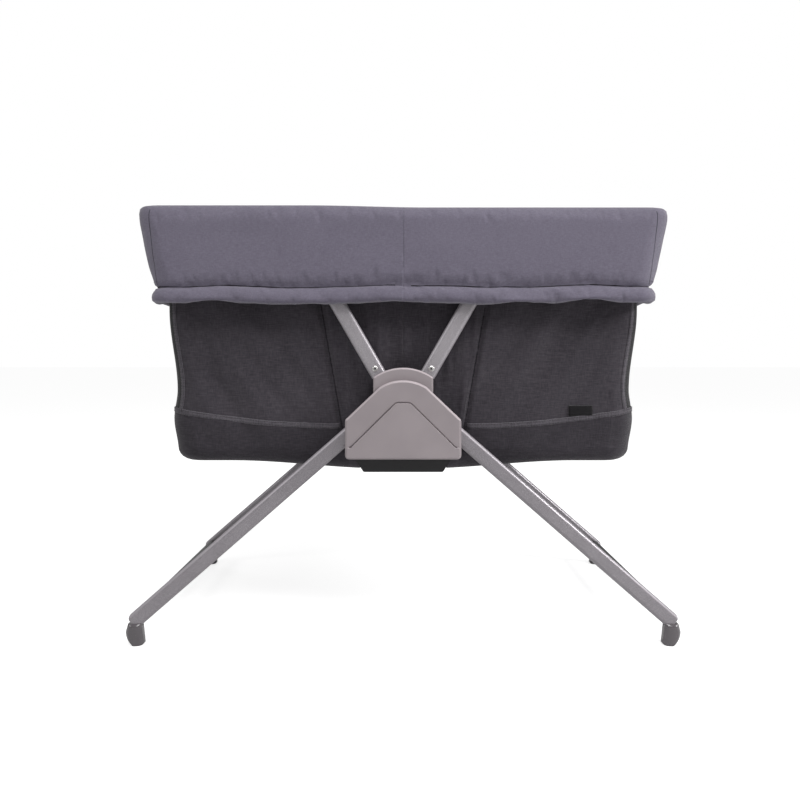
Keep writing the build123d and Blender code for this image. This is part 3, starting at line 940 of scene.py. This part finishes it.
TAPE_W, TAPE_T, TAPE_LIFT = 0.0095, 0.0011, 0.0002
SEAM_SHADOW_W, SEAM_SHADOW_T = 0.0026, 0.0005
SEAM_START_Z, SEAM_RUN = 0.702, 0.376
NET_EDGE = 0.02  # share of the end wall between the corner and the net's own tape
TAPE_STITCH, SEAM_STITCH = 0.0026, 0.0060  # from a line's middle to the stitches beside it


def seam_path(side, leg):
    """Down the groove of one long seam."""
    path = []
    for i in range(70):
        z = SEAM_START_Z - SEAM_RUN * i / 69
        x = side * seam_x(z)
        path.append(wall_point(leg, side_share(x, z, leg), z, 0.0001))
    return path


for side_name, side in SIDES:
    paths = {"band_tape": band_path(side, TAPE_LIFT)}
    corners = ((1, NET_FROM, "front"), (3, 1 - NET_FROM, "back")) if side > 0 else \
              ((7, 1 - NET_FROM, "front"), (5, NET_FROM, "back"))
    for leg, share, face in corners:
        paths[f"{face}_corner_tape"] = upright_path(leg, share, TAPE_LIFT)
        edge = NET_EDGE if (face == "front") == (side > 0) else 1 - NET_EDGE
        paths[f"{face}_net_tape"] = upright_path(2 if side > 0 else 6, edge, TAPE_LIFT)
    stitch_lines = []
    for label, path in paths.items():
        hang(tape(f"{side_name}_{label}", path, TAPE_W, TAPE_T, binding_cloth), side_name)
        raised = [(place + out * TAPE_T, out) for place, out in path]
        stitch_lines += [shifted(raised, amount) for amount in (-TAPE_STITCH, TAPE_STITCH)]
    for leg, face in ((0, "front"), (4, "back")):
        # Each long seam's groove gets a dark strip: painted shadow.
        shadow_strip = tape(f"{side_name}_{face}_seam_shadow_strip", seam_path(side, leg), SEAM_SHADOW_W, SEAM_SHADOW_T,
                    seam_shade)
        hang(shadow_strip, side_name)
        for beside in (-SEAM_STITCH, SEAM_STITCH):
            line = []
            for i in range(48):
                z = SEAM_FOOT[0] - 0.03 + (0.70 - SEAM_FOOT[0]) * i / 47
                x = side * (seam_x(z) + beside)
                line.append(wall_point(leg, side_share(x, z, leg), z, 0.0003)[0])
            stitch_lines.append(line)
    hang(grow(f"{side_name}_tub_stitches", stitch_lines, STITCHES, dark_thread, Pitch=0.0048,
              Length=0.0034, Thickness=0.0009), side_name)

# %% [markdown]
# ### A blank tag
# A small woven tag is sewn over the band on the right. It carries nothing but its own weave.

# %% The tag
TAG_X, TAG_W, TAG_H = 0.306, 0.041, 0.0185
tag_path = []
for i in range(13):
    x = TAG_X + TAG_W * (i / 12 - 0.5)
    z = band_z(TAG_X) + TAPE_W / 2 + TAG_H / 2 - 0.001
    tag_path.append(wall_point(0, side_share(x, z, 0), z, 0.0012))
tag = tape("right_tag", tag_path, TAG_H, 0.0011, tag_cloth)
hang(tag, "right")

# %% [markdown]
# ## The padded cuff
# The cuff is one padded band that comes up inside the mouth, rolls over the rim and folds down
# outside to a thick rolled hem. We write its cross-section as a loop of rings, ease it into a smooth
# curve, and let a short cloth simulation inflate the outer face between its two seams. The cloth is
# cut a little too large, so that it puckers beside the seams as real padding does.

# %% The cuff's cross-section
ROLL_TOP_Y, ROLL_TOP_X = 0.258, 0.438
CUFF_LOOP = [  # height, half length, half width, corner radius
    (0.690, 0.4185, 0.2235, 0.020), (0.716, 0.4145, 0.2190, 0.020), (0.733, 0.4165, 0.2215, 0.021),
    (0.7405, 0.4235, 0.2320, 0.023), (CUFF_TOP, ROLL_TOP_X, ROLL_TOP_Y, 0.026),
    (0.7385, 0.4465, 0.2700, 0.030), (0.7270, CUFF_X, CUFF_Y - 0.003, 0.033), (0.690, 0.4425, 0.2755, 0.034),
    (0.650, 0.4340, 0.2745, 0.034), (0.622, 0.4278, 0.2730, 0.034), (0.6105, 0.4250, 0.2720, 0.034),
    (0.6065, 0.4212, 0.2672, 0.033), (0.6020, 0.4250, 0.2745, 0.035), (0.5930, 0.4290, CUFF_Y, 0.036),
    (0.5830, 0.4278, 0.2780, 0.035), (CUFF_HEM, 0.4230, 0.2715, 0.033), (0.5830, 0.4190, 0.2655, 0.029),
    (0.6050, 0.4186, 0.2650, 0.028), (0.650, 0.4285, 0.2652, 0.028), (0.700, 0.4385, 0.2655, 0.027),
    (0.7290, 0.4432, 0.2650, 0.026), (0.7365, 0.4370, 0.2580, 0.024), (0.7365, 0.4270, 0.2380, 0.021),
    (0.7290, 0.4220, 0.2268, 0.019), (0.705, 0.4212, 0.2260, 0.018),
]
LOOP_STEP = 0.0055


def eased_loop(loop, step):
    """A closed Catmull-Rom curve through the loop, with points about a step apart."""
    eased, count = [], len(loop)
    for i in range(count):
        p = [Vector((*loop[(i + k) % count][:3], loop[(i + k) % count][3])) for k in (-1, 0, 1, 2)]
        length = math.hypot(p[2][0] - p[1][0], p[2][2] - p[1][2])
        parts = max(1, round(length / step))
        for j in range(parts):
            t = j / parts
            value = 0.5 * ((2 * p[1]) + (p[2] - p[0]) * t + (2 * p[0] - 5 * p[1] + 4 * p[2] - p[3]) * t * t
                           + (3 * p[1] - p[0] - 3 * p[2] + p[3]) * t ** 3)
            eased.append(tuple(value))
    return eased


loop = eased_loop(CUFF_LOOP, LOOP_STEP)
count = len(STOPS)
cuff_points, cuff_faces = [], []
for z, half_x, half_y, radius in loop:
    for leg, share in STOPS:
        place = ring_point((half_x, half_y, radius), leg, share)[0]
        cuff_points.append(Vector((place.x, place.y, z)))
for r in range(len(loop)):
    for c in range(count):
        cuff_faces.append(quad(r, c, count, len(loop)))
cuff_ring = face_outwards(new_piece("cuff_ring", cuff_points, cuff_faces, cuff_cloth))
print("cuff rings:", len(loop), "points:", len(cuff_points))

# %% [markdown]
# ### Inflate the padding
# Only the outer face and the hem may move. Everything behind them is pinned, and so are the seam
# above the hem and the line where the cloth meets the rim. After the run each point is held within
# a cap, so that the padding stays in the room that the frame leaves for it.

# %% Cloth simulation with a cap
SEAM_ABOVE_HEM_Z = 0.6065


def simulate(piece, pins, pressure, growth, cap, frames=18, stiffness=18):
    """Inflates a closed piece with Blender's cloth, keeping pinned points still."""
    before = [v.co.copy() for v in piece.data.vertices]
    group = piece.vertex_groups.new(name="held")
    for index, weight in enumerate(pins):
        if weight > 0:
            group.add([index], weight, "REPLACE")
    cloth = piece.modifiers.new("padding", "CLOTH")
    settings = cloth.settings
    settings.quality, settings.mass = 5, 0.25
    settings.tension_stiffness = settings.compression_stiffness = stiffness
    settings.shear_stiffness, settings.bending_stiffness = stiffness / 2, 0.6
    settings.use_pressure, settings.uniform_pressure_force = True, pressure
    settings.shrink_min = -growth
    settings.vertex_group_mass = "held"
    settings.effector_weights.gravity = 0
    cloth.collision_settings.use_collision = False
    cloth.collision_settings.use_self_collision = False
    cloth.point_cache.frame_start, cloth.point_cache.frame_end = 1, frames
    for number in range(1, frames + 1):
        bpy.context.scene.frame_set(number)
        bpy.context.view_layer.update()
    apply_modifiers(piece)
    bpy.context.scene.frame_set(1)
    furthest = 0.0
    for vertex, start in zip(piece.data.vertices, before):
        move = vertex.co - start
        furthest = max(furthest, move.length)
        if move.length > cap:
            vertex.co = start + move.normalized() * cap
    piece.vertex_groups.clear()
    print(piece.name, "furthest move before the cap, mm:", round(furthest * 1000, 1))
    return piece


PINNED_BEHIND_Y = 0.2668
pins = []
for z, _, half_y, _ in loop:
    row_inner = half_y < PINNED_BEHIND_Y
    held = row_inner or abs(z - SEAM_ABOVE_HEM_Z) < 0.0022 or z > CUFF_TOP - 0.0008
    pins += [1.0 if held else 0.0] * count
simulate(cuff_ring, pins, pressure=2.2, growth=0.022, cap=0.0035)


# %% Soft unevenness, then two halves
def cuff_softness(place):
    """Low, slow waves along the padding, and short puckers that fade away from the hem seam."""
    run = place.x + place.y
    slow = noise.noise((run * 9, place.z * 14, 2.1)) * 0.0016
    pucker = noise.noise((run * 62, place.z * 9, 7.7)) * 0.0013 * bell(place.z - SEAM_ABOVE_HEM_Z, 0.028)
    return slow + pucker


def soften(piece, rule, limits):
    """Moves points along their normals by rule(place) where limits(place) allows."""
    moves = []
    for vertex in piece.data.vertices:
        share = limits(vertex.co)
        moves.append(vertex.normal * rule(vertex.co) * share if share else None)
    for vertex, move in zip(piece.data.vertices, moves):
        if move:
            vertex.co += move
    piece.data.update()
    return piece


def on_outer_face(place):
    end_face = 0.4214 + 0.214 * (place.z - 0.604)
    return ease(max(abs(place.x) - end_face, abs(place.y) - 0.2685) * 1000, 0.0, 2.0)


def cuff_sway(place):
    """How far the cuff's edges stray from level: the hem dips and lifts, the top is a little higher on
    the left. Cut and sewn padding is never quite straight."""
    run = place.x + 0.7 * place.y
    low = noise.noise((run * 7.5, 3.3, 0.4)) * 0.0042 + noise.noise((run * 19, 8.1, 0.4)) * 0.0014
    high = 0.0036 * (1 - ease(place.x, -0.16, 0.04)) - 0.0008
    outside = ease(abs(place.y), 0.255, 0.262) if abs(place.x) < 0.41 else 1.0
    return low * outside * (1 - ease(place.z, 0.60, 0.70)) + high * ease(place.z, 0.715, 0.735)


soften(cuff_ring, cuff_softness, on_outer_face)
for vertex in cuff_ring.data.vertices:
    vertex.co.z += cuff_sway(vertex.co)


def closed_half(piece, side, name):
    """One side of a closed piece, capped where it was cut."""
    copy = half_of(piece, side, name)

    def cap(bm):
        rim = [e for e in bm.edges if e.is_boundary]
        bmesh.ops.edgeloop_fill(bm, edges=rim)
        bmesh.ops.recalc_face_normals(bm, faces=bm.faces[:])

    edit(copy, cap)
    for polygon in copy.data.polygons:
        polygon.use_smooth = len(polygon.vertices) < 5
    return copy


CUFF_STITCH_Z = SEAM_ABOVE_HEM_Z + 0.0085
CUFF_RING = (0.430, 0.2720, 0.034)
CORNER_SEAM_Z, CORNER_SEAM_RUN = 0.733, 0.123


def on_cuff(half, leg, share, z, lift):
    """The spot of the cuff's outer face beside a stop of the ring, and the way out of it."""
    place, out = ring_point(CUFF_RING, leg, share)
    start = Vector((place.x, place.y, z))
    start.z += cuff_sway(start)
    hit, spot, normal, _ = half.ray_cast(start + out * 0.05, -out)
    return (spot + normal * lift, normal) if hit else (start, out)


def round_cuff(half, side, z, lift, clear):
    """Round the half at one height, from the front middle to the back, staying clear of the cut."""
    spots = []
    for leg in (0, 1, 2, 3, 4) if side > 0 else (4, 5, 6, 7, 0):
        steps = 2 * CORNER_STEPS if leg % 2 else 60
        spots += [on_cuff(half, leg, i / steps, z, lift) for i in range(steps)]
    return [spot for spot in spots if spot[0].x * side > clear]


def corner_seam(half, leg):
    """Down one rounded corner of the cuff, from the roll to the hem's seam."""
    share = 0.42 if leg in (1, 5) else 0.58
    return [on_cuff(half, leg, share, CORNER_SEAM_Z - CORNER_SEAM_RUN * i / 30, -0.0001) for i in range(31)]


for side_name, side in SIDES:
    half = closed_half(cuff_ring, side, f"{side_name}_cuff_padding")
    hang(half, side_name, [f"{side_name}_cuff"])
    print(half.name, triangles(half), "triangles")
    bpy.context.view_layer.update()
    stitch_line = [spot[0] for spot in round_cuff(half, side, CUFF_STITCH_Z, 0.0002, 0.002)]
    stitches = grow(f"{side_name}_cuff_stitches", [stitch_line], STITCHES, stitch_thread,
                    Pitch=0.0055, Length=0.0036, Thickness=0.0008)
    hang(stitches, side_name)
    # A dark strip in the groove of the hem's seam: painted shadow.
    hem_path = round_cuff(half, side, SEAM_ABOVE_HEM_Z, 0.0001, 0.0005)
    shadow_strip = tape(f"{side_name}_hem_seam_shadow", hem_path, 0.0030, 0.0005, seam_shade)
    hang(shadow_strip, side_name)
    # Thin dark strips down the cuff's rounded corners: painted shade along the corner seams.
    for leg, face in ((1, "front"), (3, "back")) if side > 0 else ((7, "front"), (5, "back")):
        seam = tape(f"{side_name}_{face}_cuff_seam_shade", corner_seam(half, leg), 0.0018, 0.0003, cuff_shade)
        hang(seam, side_name)
bpy.data.objects.remove(cuff_ring)

# %% [markdown]
# ## Mattress
# Each half of the folding mattress is a thin pad in its own cover. The recipe for a padded piece is
# always the same: start a little too small, remesh it to even quads, inflate it as cloth, cap how
# far a point may go, and then sew the channels into it.

# %% Inflate and quilt the mattress
PAD_VOXEL, PAD_SHRINK = 0.0062, 0.004
CHANNEL_STEP, CHANNEL_DEPTH, CHANNEL_W = 0.094, 0.0030, 0.0045


def pad_block(name, low, high, radius):
    """A flat block with rounded upright corners."""
    middle = [(a + b) / 2 for a, b in zip(low, high)]
    half_x, half_y = (high[0] - low[0]) / 2, (high[1] - low[1]) / 2
    outline = []
    for leg in (1, 3, 5, 7):
        for i in range(7):
            outline.append(ring_point((half_x, half_y, radius), leg, i / 6)[0])
    points = [(middle[0] + p.x, middle[1] + p.y, z) for z in (low[2], high[2]) for p in outline]
    total = len(outline)
    faces = [tuple(range(total)), tuple(range(total, 2 * total))]
    faces += [(i, (i + 1) % total, total + (i + 1) % total, total + i) for i in range(total)]
    return face_outwards(new_piece(name, points, faces, lining_cloth))


def mattress_half(side_name):
    low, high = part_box(f"{side_name}_mattress")
    low = [low[0] + PAD_SHRINK, low[1] + PAD_SHRINK, low[2] + PAD_SHRINK / 4]
    high = [high[0] - PAD_SHRINK, high[1] - PAD_SHRINK, high[2] - PAD_SHRINK]
    pad = pad_block(f"{side_name}_mattress_pad", low, high, 0.024)
    remesh = pad.modifiers.new("even quads", "REMESH")
    remesh.mode, remesh.voxel_size, remesh.use_smooth_shade = "VOXEL", PAD_VOXEL, True
    apply_modifiers(pad)
    floor_z = low[2] + 0.001
    pins = [1.0 if v.co.z < floor_z else 0.0 for v in pad.data.vertices]
    simulate(pad, pins, pressure=4, growth=0.01, cap=0.006, frames=16)
    smooth = pad.modifiers.new("finer", "SUBSURF")
    smooth.levels = smooth.render_levels = 1
    apply_modifiers(pad)
    middle_z = (low[2] + high[2]) / 2
    for vertex in pad.data.vertices:
        if vertex.co.z > middle_z:
            offset = (abs(vertex.co.x) + CHANNEL_STEP / 2) % CHANNEL_STEP - CHANNEL_STEP / 2
            vertex.co.z -= CHANNEL_DEPTH * bell(offset, CHANNEL_W)
    for polygon in pad.data.polygons:
        polygon.use_smooth = True
    return pad


for side_name, side in SIDES:
    pad = mattress_half(side_name)
    hang(pad, side_name, [f"{side_name}_mattress"])
    print(pad.name, triangles(pad), "triangles")


# %% [markdown]
# ### Floor boards
# Each board is a copy of the frame's own, in black plastic, and rides on its half of the rim with the
# tub. A real board is stiff.

# %% The folding floor boards
for side_name, side in SIDES:
    board = node_copy(f"{side_name}_floor_board", f"{side_name}_folding_board", black_plastic)
    hang(board, side_name, [f"{side_name}_floor_board"])
    print(board.name, triangles(board), "triangles")
